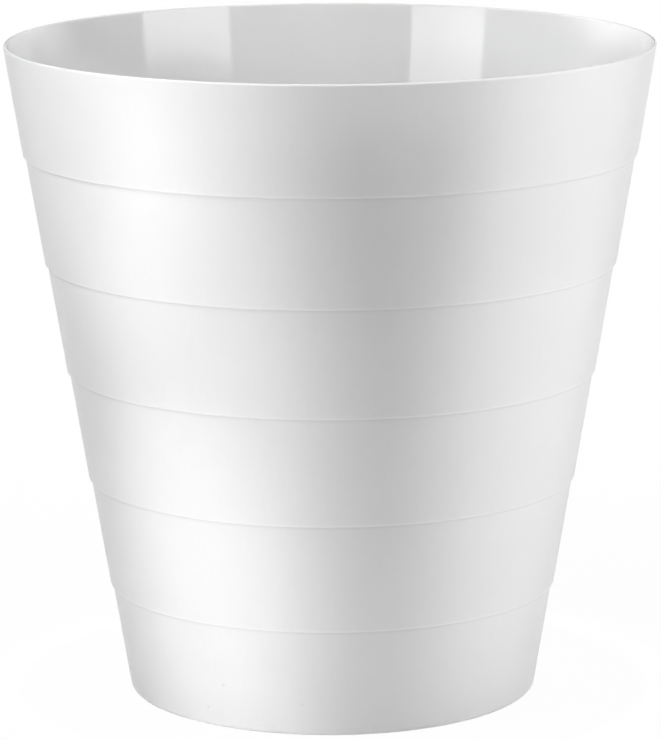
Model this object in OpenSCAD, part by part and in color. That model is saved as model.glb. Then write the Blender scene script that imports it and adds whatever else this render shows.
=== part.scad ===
// Round office waste bin, moulded in one piece from thin plastic.
// The wall tapers down to the foot in equal bands. Each band stands a small step
// proud of the band below it, and the inside follows at the same thickness.

/* [Overall size] */
// Outside diameter at the lip
mouth_d = 278; // [240:1:330]
// Height from the floor to the top of the lip
height = 282; // [200:1:400]
// Outside diameter where the wall, carried straight down, meets the floor
base_d = 176; // [130:1:200]

/* [Wall] */
// Thickness of the wall, measured square to its slope
wall = 1.6; // [1:0.1:3]
// Number of bands up the wall, all of one height
band_count = 6; // [2:1:9]
// How far each band stands out over the band below it
band_step = 0.95; // [0.3:0.05:2]
// Radius along the edges of the steps, outside and inside
band_edge_r = 0.6; // [0.1:0.05:0.8]

/* [Base] */
// Thickness of the base
base_t = 2.2; // [1.2:0.1:4]
// Radius of the outside edge at the foot
foot_edge_r = 2.5; // [0.5:0.1:4]
// Radius of the inside corner between the wall and the base
corner_r = 4; // [1:0.5:8]
// Width of the ring that the bin stands on, from the wall's corner inwards
foot_w = 12; // [8:0.5:20]
// Height of the middle of the base above the floor
base_lift = 3; // [1:0.5:8]
// Width of the slope between the foot ring and the middle of the base
lift_run = 6; // [2:0.5:15]

/* [Gate mark] */
// Diameter of the shallow well around the moulding gate, under the base
well_d = 16; // [8:1:30]
// Depth of that well
well_depth = 0.6; // [0.5:0.1:1]
// Diameter of the nub that the gate leaves in the well
nub_d = 3; // [1:0.5:6]
// Height of that nub, which stays inside the well
nub_h = 0.4; // [0.1:0.05:0.5]

/* [Hidden] */

// Largest turn from one chord to the next in a rounded stretch of the outline
chord_turn = 15;

band_h = height / band_count;
base_r = base_d / 2;
lip_r = wall / 2;

// Middle of the full-round lip, as [radius, height]
lip_centre = [mouth_d / 2 - lip_r, height - lip_r];

// Lean of every band from upright, set so that the top band runs smoothly into the lip
taper_run = lip_centre.x - base_r - (band_count - 1) * band_step;
lean = acos(-lip_r / norm([taper_run, lip_centre.y])) - atan2(lip_centre.y, taper_run);

// Edges of the steps, never rounder than the step itself
edge_r = min(band_edge_r, band_step);

// Inner edge of the foot ring, and outer edge of the lifted middle of the base
foot_in_r = base_r - foot_w;
middle_r = foot_in_r - lift_run;

// Shift that keeps the base one thickness along its slope
slope_shift = base_t * tan(atan2(base_lift, lift_run) / 2);

// Radius of the wall at height z, on the line of band i counted from the foot
function outside_r(z, i) = base_r + z * tan(lean) + i * band_step;
function inside_r(z, i) = outside_r(z, i) - wall / cos(lean);

// Points along an arc, from one angle to another
function arc(centre, r, from, to) =
    let (chords = ceil(abs(to - from) / chord_turn), turn = (to - from) / chords)
    [for (i = [0 : chords]) centre + r * [cos(from + i * turn), sin(from + i * turn)]];

// Middle of an arc that touches the level line and the leaning wall line above a corner
function touch_centre(corner, r) = corner + r * [(sin(lean) - 1) / cos(lean), 1];

// A rounded edge that faces down and out, and one that faces up and in
function lower_edge(corner, r) = arc(touch_centre(corner, r), r, -90, -lean);
function upper_edge(corner, r) = arc(touch_centre(corner, -r), r, 90, 180 - lean);

// Step below band i on the outside, and its ledge on the inside, one wall higher
function outside_step(i) =
    let (z = i * band_h)
    concat([[outside_r(z, i - 1), z]], lower_edge([outside_r(z, i), z], edge_r));
function inside_step(i) =
    let (z = i * band_h + wall)
    concat([[inside_r(z, i), z]], upper_edge([inside_r(z, i - 1), z], edge_r));

// The outline runs from the axis under the base, up the outside and down the inside
underside = [
    [0, base_lift + well_depth - nub_h],
    [nub_d / 2, base_lift + well_depth - nub_h],
    [nub_d / 2, base_lift + well_depth],
    [well_d / 2 - well_depth, base_lift + well_depth],
    [well_d / 2, base_lift],
    [middle_r, base_lift],
    [foot_in_r, 0]
];
outside = [
    each lower_edge([base_r, 0], foot_edge_r),
    for (i = [1 : band_count - 1]) each outside_step(i)
];
lip = arc(lip_centre, lip_r, -lean, 180 - lean);
inside = [for (i = [band_count - 1 : -1 : 1]) each inside_step(i)];
inner_corner = arc(touch_centre([inside_r(base_t, 0), base_t], corner_r), corner_r, -lean, -90);
floor_top = [
    [foot_in_r + slope_shift, base_t],
    [middle_r + slope_shift, base_lift + base_t],
    [0, base_lift + base_t]
];

module bin_body() {
    color([0.93, 0.93, 0.93])
        rotate_extrude($fn = 180)
            polygon(concat(underside, outside, lip, inside, inner_corner, floor_top));
}

bin_body();
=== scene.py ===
import math

import bpy
from mathutils import Matrix, Vector


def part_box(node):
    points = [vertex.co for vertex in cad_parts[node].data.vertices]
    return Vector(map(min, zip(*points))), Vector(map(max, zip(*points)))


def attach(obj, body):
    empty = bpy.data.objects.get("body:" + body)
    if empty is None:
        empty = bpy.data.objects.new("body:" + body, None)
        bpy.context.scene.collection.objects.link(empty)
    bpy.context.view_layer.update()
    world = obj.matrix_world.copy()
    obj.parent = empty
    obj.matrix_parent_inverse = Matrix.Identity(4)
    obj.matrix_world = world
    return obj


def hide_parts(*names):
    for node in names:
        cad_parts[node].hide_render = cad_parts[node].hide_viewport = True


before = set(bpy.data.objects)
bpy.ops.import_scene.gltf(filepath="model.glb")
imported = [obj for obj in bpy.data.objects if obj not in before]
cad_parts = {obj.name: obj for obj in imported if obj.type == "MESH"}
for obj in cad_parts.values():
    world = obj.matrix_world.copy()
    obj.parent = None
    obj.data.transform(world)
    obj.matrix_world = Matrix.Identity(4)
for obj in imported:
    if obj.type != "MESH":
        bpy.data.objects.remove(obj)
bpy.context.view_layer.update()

MM = 0.001
UP = Vector((0, 0, 1))

# Sizes of the bin, as in the CAD model
body_low, body_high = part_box("bin_body")
MOUTH_R = (body_high.x - body_low.x) / 2
HEIGHT = body_high.z
MIDDLE = HEIGHT / 2 * UP
BASE_R = 88 * MM
WALL = 1.6 * MM
BAND_COUNT = 6
BAND_H = HEIGHT / BAND_COUNT
BAND_STEP = 0.95 * MM
EDGE_R = 0.6 * MM
BASE_T = 2.2 * MM
FOOT_EDGE_R = 2.5 * MM
CORNER_R = 4 * MM
FOOT_W = 12 * MM
BASE_LIFT = 3 * MM
LIFT_RUN = 6 * MM
WELL_R = 8 * MM
WELL_DEPTH = 0.6 * MM
NUB_R = 1.5 * MM
NUB_H = 0.4 * MM

# Small radius in the hollow corner of a step, which the CAD model leaves sharp
FILLET_R = 0.15 * MM

# Full-round lip, and the lean of the wall from upright with which the top band runs into it
LIP_R = WALL / 2
LIP_CENTRE = Vector((MOUTH_R - LIP_R, HEIGHT - LIP_R))
TAPER_RUN = LIP_CENTRE.x - BASE_R - (BAND_COUNT - 1) * BAND_STEP
LEAN = math.acos(-LIP_R / math.hypot(TAPER_RUN, LIP_CENTRE.y)) - math.atan2(LIP_CENTRE.y, TAPER_RUN)

# Fineness of the mesh, and the radius below which a ring is a point on the axis
SEGMENTS = 288
EDGE_CHORDS = 6
ROW_H = 7 * MM
EDGE_LOOP = 0.3 * MM
SHORTEST_RUN = 4 * EDGE_LOOP
POINT_R = 0.001 * MM

# Camera, as found from the outline of the bin in the photograph, with a sensor in millimetres
PHOTO_W = 660
PHOTO_H = 740
CAMERA_BACK = 1.8254
CAMERA_UP = 0.5109
CAMERA_PITCH = math.radians(11.523)
CAMERA_ROLL = math.radians(0.255)
FOCAL_PX = 4305
CENTRE_PX = 331.4
SENSOR = 36

# White plastic: its tone, how far and how much light spreads inside it, and how uneven the tone is
WHITE = 0.86
SCATTER = 12 * MM
MILKINESS = 0.25
MOTTLE = 0.02

# Noises on the plastic, in cells to the metre along each axis, and the middle of their values
MOTTLE_CELLS = (60, 60, 60)
MOTTLE_DETAIL = 4
STREAK_CELLS = (700, 700, 12)
SCUFF_CELLS = (40, 40, 900)
GRAIN_CELLS = (2200, 2200, 2200)
MARK_CELLS = (900, 900, 10)
NOISE_MIDDLE = 0.5

# Finish of the satin outside and the glossy inside: least roughness, what noise adds, and relief
SATIN_ROUGH = 0.37
SATIN_ADDED = 0.16
GRAIN_DEPTH = 0.01 * MM
GLOSS_ROUGH = 0.045
GLOSS_ADDED = 0.05
MARK_DEPTH = 0.001 * MM

# Painted highlight on the edges of the steps, and painted shade in the corners below them, whose darkness
# also serves the soil on the base
EDGE_PAINTED_HIGHLIGHT = 0.07
STEP_SHADE_H = 2 * MM
SHADE_AND_SOIL_DARK = 0.06

# Scuffs at the foot and soil on the base, with the noise values between which they come up
SCUFF_H = 15 * MM
SCUFF_FADE = (0.5, 0.8)
SCUFF_DARK = 0.03
SOIL_FADE = (0.4, 0.7)

# Dirt specks: cells to the metre, radius within a cell, share of the cells that have one
SPECK_CELLS = 150
SPECK_R = 0.15
SPECK_SHARE = 0.12
SPECK_DARK = 0.2

# Floor, nearly white at the bin and white further out
FLOOR_R = 2.2
FLOOR_DROP = 0.1 * MM
FLOOR_GREY = 0.93
NEAR_WHITE = 0.965
FADE_START = 0.2
FADE_END = 0.6

# Surroundings, white up to a line just above the horizon and dark over it
STUDIO_GREY = 0.05
SKY_LINE = math.sin(math.radians(4.2))

# Lights: distance from the middle of the bin, radius of a lamp, and angles in degrees
LIGHT_AWAY = 1.5
LAMP_R = 10 * MM
WALL_FAN_RISE = 3
WALL_FAN_BEAM = 5.5

# Fans over the lip, which aim just outside it so that little light falls into the mouth
LIP_FANS = 12
LIP_FAN_UP = 1.2
LIP_FAN_OUT = 10 * MM
LIP_FAN_AIM = 1.5 * MM
LIP_FAN_BEAM = 0.9
LIP_FAN_WIDE = 8
LIP_FAN_WATTS = 32

# Fans across the mouth, flat and with crisp edges
END_FAN_AWAY = 1.64
END_FAN_UP = 0.13
END_FAN_TALL = 0.25
END_FAN_BLEND = 0.3

# Softbox behind the bin
BACK_AWAY = 1.4
BACK_UP = 0.45


def outside_r(z, band):
    """Radius of the outside of a band, counted from the foot, at height z."""
    return BASE_R + z * math.tan(LEAN) + band * BAND_STEP


def inside_r(z, band):
    """Radius of the inside of a band at height z."""
    return outside_r(z, band) - WALL / math.cos(LEAN)


def arc(centre, radius, start, end):
    """Points on an arc in the plane of radius and height."""
    turn = (end - start) / EDGE_CHORDS
    return [centre + radius * Vector((math.cos(start + i * turn), math.sin(start + i * turn)))
            for i in range(EDGE_CHORDS + 1)]


def touch_centre(corner, radius):
    """Centre of an arc that touches the level line and the leaning wall at a corner."""
    return corner + radius * Vector(((math.sin(LEAN) - 1) / math.cos(LEAN), 1))


def lower_edge(corner, radius):
    """Arc from a level line below to the wall above, turning down and out."""
    return arc(touch_centre(corner, radius), radius, -math.pi / 2, -LEAN)


def upper_edge(corner, radius):
    """Arc from a level line above to the wall below, turning up and in."""
    return arc(touch_centre(corner, -radius), radius, math.pi / 2, math.pi - LEAN)


def run(start, end):
    """Points between the ends of a straight stretch, close to both ends and at even rows."""
    along = end - start
    if along.length < SHORTEST_RUN:
        return []
    close = EDGE_LOOP / along.length
    rows = math.ceil(along.length / ROW_H)
    shares = [close] + [row / rows for row in range(1, rows)] + [1 - close]
    return [start + along * share for share in shares]


def joined(stretches):
    """One outline from several stretches, with straight runs filled in between them."""
    points = list(stretches[0])
    for stretch in stretches[1:]:
        points += run(points[-1], stretch[0])
        points += stretch
    return points


def outside_outline():
    """Outline from the axis under the base, up the outside, to the top of the lip."""
    well_z = BASE_LIFT + WELL_DEPTH
    nub_z = well_z - NUB_H
    foot_in_r = BASE_R - FOOT_W
    stretches = [
        [Vector((0, nub_z))],
        [Vector((NUB_R, nub_z))],
        [Vector((NUB_R, well_z))],
        [Vector((WELL_R - WELL_DEPTH, well_z))],
        [Vector((WELL_R, BASE_LIFT))],
        [Vector((foot_in_r - LIFT_RUN, BASE_LIFT))],
        [Vector((foot_in_r, 0))],
        lower_edge(Vector((BASE_R, 0)), FOOT_EDGE_R),
    ]
    for band in range(1, BAND_COUNT):
        z = band * BAND_H
        stretches.append(upper_edge(Vector((outside_r(z, band - 1), z)), FILLET_R)[::-1])
        stretches.append(lower_edge(Vector((outside_r(z, band), z)), EDGE_R))
    stretches.append(arc(LIP_CENTRE, LIP_R, -LEAN, math.pi / 2))
    return joined(stretches)


def inside_outline():
    """Outline from the top of the lip, down the inside, to the axis on the base."""
    slope_shift = BASE_T * math.tan(math.atan2(BASE_LIFT, LIFT_RUN) / 2)
    foot_in_r = BASE_R - FOOT_W + slope_shift
    stretches = [arc(LIP_CENTRE, LIP_R, math.pi / 2, math.pi - LEAN)]
    for band in reversed(range(1, BAND_COUNT)):
        z = band * BAND_H + WALL
        stretches.append(lower_edge(Vector((inside_r(z, band), z)), FILLET_R)[::-1])
        stretches.append(upper_edge(Vector((inside_r(z, band - 1), z)), EDGE_R))
    stretches.append(lower_edge(Vector((inside_r(BASE_T, 0), BASE_T)), CORNER_R)[::-1])
    stretches.append([Vector((foot_in_r, BASE_T))])
    stretches.append([Vector((foot_in_r - LIFT_RUN, BASE_LIFT + BASE_T))])
    stretches.append([Vector((0, BASE_LIFT + BASE_T))])
    return joined(stretches)


def add_object(name, data):
    """New object in the scene for a mesh, light or camera."""
    made = bpy.data.objects.new(name, data)
    bpy.context.scene.collection.objects.link(made)
    return made


def ring(radius, height):
    """Corners of a level circle, or its one middle point where the radius is nothing."""
    if radius < POINT_R:
        return [(0, 0, height)]
    turn = 2 * math.pi / SEGMENTS
    return [(radius * math.cos(i * turn), radius * math.sin(i * turn), height) for i in range(SEGMENTS)]


def lathe(name, outlines):
    """Mesh turned from outlines that follow on from each other, each with a material of its own."""
    verts, faces, materials = [], [], []
    below = None
    for index, outline in enumerate(outlines):
        # A later outline starts at the point where the one before it ends
        for point in outline[1:] if index else outline:
            corners = ring(point.x, point.y)
            above = range(len(verts), len(verts) + len(corners))
            verts += corners
            if below:
                for i in range(SEGMENTS):
                    j = (i + 1) % SEGMENTS
                    face = [below[i % len(below)], below[j % len(below)],
                            above[j % len(above)], above[i % len(above)]]
                    # At the axis two corners are one, which leaves a triangle
                    faces.append(list(dict.fromkeys(face)))
                    materials.append(index)
            below = above
    mesh = bpy.data.meshes.new(name)
    mesh.from_pydata(verts, [], faces)
    mesh.polygons.foreach_set("material_index", materials)
    mesh.shade_smooth()
    return add_object(name, mesh)


def feed(tree, socket, value):
    """Set a socket to a value, or link another socket to it."""
    if isinstance(value, bpy.types.NodeSocket):
        tree.links.new(value, socket)
    else:
        socket.default_value = value


def node(tree, kind, **inputs):
    """New node of a kind, with values for its inputs by name or links from other sockets."""
    made = tree.nodes.new(kind)
    for key, value in inputs.items():
        feed(tree, made.inputs[key.replace("_", " ")], value)
    return made


def worked(tree, kind, operation, *values):
    """New math node of a kind that works on values or sockets, in order."""
    made = tree.nodes.new(kind)
    made.operation = operation
    for socket, value in zip(made.inputs, values):
        feed(tree, socket, value)
    return made


def maths(tree, operation, *values):
    """Output of a math node for numbers."""
    return worked(tree, "ShaderNodeMath", operation, *values).outputs[0]


def fade(tree, value, start, end):
    """Socket that goes smoothly from 0 at the start to 1 at the end."""
    made = node(tree, "ShaderNodeMapRange", Value=value, From_Min=start, From_Max=end)
    made.interpolation_type = "SMOOTHSTEP"
    return made.outputs[0]


def coordinate(tree, kind):
    """Socket with a coordinate of the surface, or of the looked-in direction in the world."""
    return tree.nodes.new("ShaderNodeTexCoord").outputs[kind]


def height_of(tree, place):
    """Socket with the upright part of a coordinate."""
    return node(tree, "ShaderNodeSeparateXYZ", Vector=place).outputs["Z"]


def noise(tree, place, cells, detail=2):
    """Socket with a noise, given in cells to the metre along each axis."""
    stretched = worked(tree, "ShaderNodeVectorMath", "MULTIPLY", place, cells)
    return node(tree, "ShaderNodeTexNoise", Vector=stretched.outputs[0], Scale=1, Detail=detail).outputs[0]


def grey(value):
    """Neutral colour."""
    return (value, value, value, 1)


def new_material(name):
    """Empty node material, with its tree and the socket for its surface."""
    material = bpy.data.materials.new(name)
    material.use_nodes = True
    material.node_tree.nodes.clear()
    output = material.node_tree.nodes.new("ShaderNodeOutputMaterial")
    return material, material.node_tree, output.inputs["Surface"]


def darker(tree, tone, share, amount):
    """Tone made darker by up to an amount."""
    return maths(tree, "MULTIPLY_ADD", share, -amount, tone)


def uneven(tree, tone, pattern):
    """Tone that goes a little up and down with a noise."""
    return maths(tree, "MULTIPLY_ADD", maths(tree, "SUBTRACT", pattern, NOISE_MIDDLE), MOTTLE, tone)


def plastic(tree, tone, roughness, relief, depth):
    """Output of a milky plastic shader with a relief from a noise."""
    bump = node(tree, "ShaderNodeBump", Strength=1, Distance=depth, Height=relief)
    shader = node(tree, "ShaderNodeBsdfPrincipled", Base_Color=tone, Roughness=roughness,
                  Normal=bump.outputs[0], Subsurface_Weight=MILKINESS, Subsurface_Radius=(1, 1, 1),
                  Subsurface_Scale=SCATTER)
    return shader.outputs[0]


def painted_step_shade(tree, height, over_step, mottle):
    """Socket with patchy painted shade in the corners below the steps, and none at the lip."""
    corner = fade(tree, over_step, BAND_H - STEP_SHADE_H, BAND_H)
    off_lip = maths(tree, "LESS_THAN", height, HEIGHT - BAND_H / 2)
    patches = maths(tree, "ADD", mottle, NOISE_MIDDLE)
    return maths(tree, "MULTIPLY", maths(tree, "MULTIPLY", corner, off_lip), patches)


def foot_scuffs(tree, place, height):
    """Socket with level scuffs close to the floor."""
    scratches = fade(tree, noise(tree, place, SCUFF_CELLS), *SCUFF_FADE)
    return maths(tree, "MULTIPLY", fade(tree, height, SCUFF_H, 0), scratches)


def foot_specks(tree, place, height):
    """Socket with dirt specks in some cells of the lowest band, weaker higher up."""
    cells = node(tree, "ShaderNodeTexVoronoi", Vector=place, Scale=SPECK_CELLS).outputs
    chance = node(tree, "ShaderNodeSeparateColor", Color=cells["Color"]).outputs["Red"]
    spots = fade(tree, cells["Distance"], SPECK_R, 0)
    specks = maths(tree, "MULTIPLY", spots, maths(tree, "LESS_THAN", chance, SPECK_SHARE))
    return maths(tree, "MULTIPLY", specks, fade(tree, height, BAND_H, 0))


def satin_plastic():
    """White plastic with the grain of an eroded mould, a painted highlight on the step edges, painted
    shade in the corners below the steps, scuffs and specks.
    """
    material, tree, surface = new_material("satin_white_plastic")
    place = coordinate(tree, "Object")
    height = height_of(tree, place)
    bands = maths(tree, "DIVIDE", height, BAND_H)
    over_step = maths(tree, "MULTIPLY", maths(tree, "FRACT", bands), BAND_H)
    edge = fade(tree, over_step, 2 * EDGE_R, EDGE_R / 2)
    mottle = noise(tree, place, MOTTLE_CELLS, MOTTLE_DETAIL)
    streaks = noise(tree, place, STREAK_CELLS)
    grain = noise(tree, place, GRAIN_CELLS)
    # Painted highlight: the rounded step edges are made lighter in colour
    tone = maths(tree, "MULTIPLY_ADD", edge, EDGE_PAINTED_HIGHLIGHT, WHITE)
    # Painted shade: the corners below the steps are made darker in colour
    tone = darker(tree, tone, painted_step_shade(tree, height, over_step, mottle), SHADE_AND_SOIL_DARK)
    tone = darker(tree, tone, foot_scuffs(tree, place, height), SCUFF_DARK)
    tone = darker(tree, tone, foot_specks(tree, place, height), SPECK_DARK)
    tone = uneven(tree, uneven(tree, tone, mottle), streaks)
    roughness = maths(tree, "MULTIPLY_ADD", mottle, SATIN_ADDED, SATIN_ROUGH)
    feed(tree, surface, plastic(tree, tone, roughness, grain, GRAIN_DEPTH))
    return material


def gloss_plastic():
    """White plastic from a polished core, with draw marks up the wall and a slightly soiled base."""
    material, tree, surface = new_material("gloss_white_plastic")
    place = coordinate(tree, "Object")
    low = fade(tree, height_of(tree, place), SCUFF_H, 0)
    mottle = noise(tree, place, MOTTLE_CELLS, MOTTLE_DETAIL)
    marks = noise(tree, place, MARK_CELLS)
    soil = maths(tree, "MULTIPLY", low, fade(tree, mottle, *SOIL_FADE))
    tone = darker(tree, uneven(tree, WHITE, mottle), soil, SHADE_AND_SOIL_DARK)
    roughness = maths(tree, "MULTIPLY_ADD", marks, GLOSS_ADDED, GLOSS_ROUGH)
    feed(tree, surface, plastic(tree, tone, roughness, marks, MARK_DEPTH))
    return material


def seen_ray(tree):
    """Socket that is 1 for the rays that show the surroundings: camera, mirror and glass rays."""
    path = tree.nodes.new("ShaderNodeLightPath").outputs
    shown = maths(tree, "MAXIMUM", path["Is Camera Ray"], path["Is Glossy Ray"])
    return maths(tree, "MAXIMUM", shown, path["Is Transmission Ray"])


def pale_floor():
    """Floor material that keeps a shadow at the bin and is plain white away from it."""
    material, tree, surface = new_material("pale_floor")
    away = worked(tree, "ShaderNodeVectorMath", "LENGTH", coordinate(tree, "Object"))
    far = fade(tree, away.outputs["Value"], FADE_START, FADE_END)
    whiteness = maths(tree, "MULTIPLY_ADD", far, 1 - NEAR_WHITE, NEAR_WHITE)
    share = maths(tree, "MULTIPLY", whiteness, seen_ray(tree))
    lit = node(tree, "ShaderNodeBsdfDiffuse", Color=grey(FLOOR_GREY))
    white = node(tree, "ShaderNodeEmission", Color=grey(1), Strength=1)
    mixed = tree.nodes.new("ShaderNodeMixShader")
    for socket, value in zip(mixed.inputs, (share, lit.outputs[0], white.outputs[0])):
        feed(tree, socket, value)
    feed(tree, surface, mixed.outputs[0])
    return material


def make_floor():
    """Round floor just under the bin."""
    mesh = bpy.data.meshes.new("floor")
    mesh.from_pydata(ring(FLOOR_R, -FLOOR_DROP), [], [range(SEGMENTS)])
    mesh.materials.append(pale_floor())
    add_object("floor", mesh)


def make_world():
    """White surroundings under a dark studio, for camera, mirror and glass rays only."""
    world = bpy.data.worlds.new("surroundings")
    bpy.context.scene.world = world
    world.use_nodes = True
    tree = world.node_tree
    tree.nodes.clear()
    output = tree.nodes.new("ShaderNodeOutputWorld")
    above = maths(tree, "GREATER_THAN", height_of(tree, coordinate(tree, "Generated")), SKY_LINE)
    shown = maths(tree, "MULTIPLY_ADD", above, STUDIO_GREY - 1, 1)
    strength = maths(tree, "MULTIPLY", shown, seen_ray(tree))
    background = node(tree, "ShaderNodeBackground", Color=grey(1), Strength=strength)
    feed(tree, output.inputs["Surface"], background.outputs[0])


def around(azimuth, elevation):
    """Place for a light round the bin, by degrees to the right of the front and above the level."""
    turn = math.radians(azimuth)
    rise = math.radians(elevation)
    away = Vector((math.sin(turn) * math.cos(rise), -math.cos(turn) * math.cos(rise), math.sin(rise)))
    return MIDDLE + LIGHT_AWAY * away


def aimed(name, lamp, place, aim):
    """Object for a lamp at a place, turned to a point, that is seen neither directly nor in mirrors."""
    holder = add_object(name, lamp)
    holder.location = place
    holder.rotation_euler = (aim - place).to_track_quat("-Z", "Y").to_euler()
    holder.visible_camera = False
    holder.visible_glossy = False
    return holder


def softbox(name, place, aim, width, height, watts):
    """Rectangular softbox that faces a point."""
    lamp = bpy.data.lights.new(name, "AREA")
    lamp.shape = "RECTANGLE"
    lamp.size = width
    lamp.size_y = height
    lamp.energy = watts
    return aimed(name, lamp, place, aim)


def fan(name, place, aim, watts, beam, wide=1, tall=1, blend=1):
    """Spot light with its round beam, in degrees, drawn out or flattened to a fan."""
    lamp = bpy.data.lights.new(name, "SPOT")
    lamp.energy = watts
    lamp.spot_size = math.radians(beam)
    lamp.spot_blend = blend
    lamp.shadow_soft_size = LAMP_R
    aimed(name, lamp, place, aim).scale = (wide, tall, 1)


def light_wall():
    """Upright fans on the front of the wall, and a flat one just below the front of the lip."""
    for name, azimuth, rise, watts, tall in (
        ("left_front_fan", -22, 10 * MM, 20.6, 4),
        ("left_fan", -34, 10 * MM, 14.1, 4),
        ("left_side_fan", -49, 110 * MM, 15.3, 1.6),
        ("left_foot_fan", -37, -85 * MM, 12, 1.5),
        ("right_front_fan", 38, 20 * MM, 3.8, 4),
        ("right_fan", 47, 60 * MM, 16.5, 4),
    ):
        fan(name, around(azimuth, WALL_FAN_RISE), MIDDLE + rise * UP, watts, WALL_FAN_BEAM, tall=tall)
    below_lip = Vector((20 * MM, -MOUTH_R, HEIGHT - 8 * MM))
    fan("front_top_fan", around(6, WALL_FAN_RISE), below_lip, watts=4, beam=6, tall=0.25)


def light_lip():
    """Wide fans from above, all the way round the lip."""
    for i in range(LIP_FANS):
        outward = Matrix.Rotation(2 * math.pi * i / LIP_FANS, 3, "Z") @ Vector((0, -1, 0))
        aim = HEIGHT * UP + (MOUTH_R + LIP_FAN_AIM) * outward
        place = aim + LIP_FAN_UP * UP + LIP_FAN_OUT * outward
        fan(f"lip_fan_{i}", place, aim, LIP_FAN_WATTS, LIP_FAN_BEAM, wide=LIP_FAN_WIDE)


def light_inside():
    """Fans across the mouth onto both ends of the inside, and one onto its right back."""
    for name, side, depth, watts, beam in (
        ("right_end_fan", 1, 48 * MM, 42, 3.2),
        ("left_end_fan", -1, 34 * MM, 24, 2.6),
    ):
        end = Vector((side * MOUTH_R, depth, HEIGHT))
        place = end + Vector((-side * END_FAN_AWAY, 0, END_FAN_UP))
        fan(name, place, end, watts, beam, tall=END_FAN_TALL, blend=END_FAN_BLEND)
    right_back = Vector((95 * MM, 95 * MM, HEIGHT - 12 * MM))
    from_front_left = Vector((-1.2, -1.05, 0.2))
    fan("right_inside_fan", right_back + from_front_left, right_back, watts=18.5, beam=5.5, tall=0.35)


def light_sides():
    """Softboxes at the sides, and a wide one behind that aims over the bin."""
    for name, azimuth, elevation, width, height, watts in (
        ("left_softbox", -62, 50, 0.7, 0.5, 10.5),
        ("right_low_softbox", 84, 12, 0.5, 0.5, 3.2),
        ("right_softbox", 80, 36, 0.5, 0.5, 5.7),
    ):
        softbox(name, around(azimuth, elevation), MIDDLE, width, height, watts)
    over_bin = BACK_UP * UP
    behind = over_bin + Vector((0, BACK_AWAY, 0))
    softbox("back_softbox", behind, over_bin, width=2, height=0.34, watts=16.5)


def light_mirrors():
    """Panels that mirror in the glossy inside, each as a pale upright patch."""
    for name, x, y, level, aim_x, width, height, watts in (
        ("left_panel", -1.295, -1.145, 0.67, -0.69, 0.98, 0.3, 4),
        ("right_panel", 1.605, -0.915, 0.7, 0.975, 1.32, 0.24, 4.6),
    ):
        panel = softbox(name, Vector((x, y, level)), Vector((aim_x, 0, level)), width, height, watts)
        panel.visible_glossy = True


def make_camera():
    """Camera at the photograph's place, with its slight roll."""
    data = bpy.data.cameras.new("camera")
    data.sensor_width = SENSOR
    data.lens = FOCAL_PX / max(PHOTO_W, PHOTO_H) * SENSOR
    camera = add_object("camera", data)
    aside = (CENTRE_PX - PHOTO_W / 2) / FOCAL_PX * CAMERA_BACK
    look = Matrix.Rotation(math.pi / 2 - CAMERA_PITCH, 4, "X") @ Matrix.Rotation(-CAMERA_ROLL, 4, "Z")
    camera.matrix_world = Matrix.Translation((-aside, -CAMERA_BACK, CAMERA_UP)) @ look
    bpy.context.scene.camera = camera


# The bin
bin_shell = lathe("bin_shell", [outside_outline(), inside_outline()])
bin_shell.data.materials.append(satin_plastic())
bin_shell.data.materials.append(gloss_plastic())
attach(bin_shell, "root")
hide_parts("bin_body")

# The studio
make_floor()
make_world()
light_wall()
light_lip()
light_inside()
light_sides()
light_mirrors()
make_camera()
bpy.context.scene.view_settings.view_transform = "Standard"
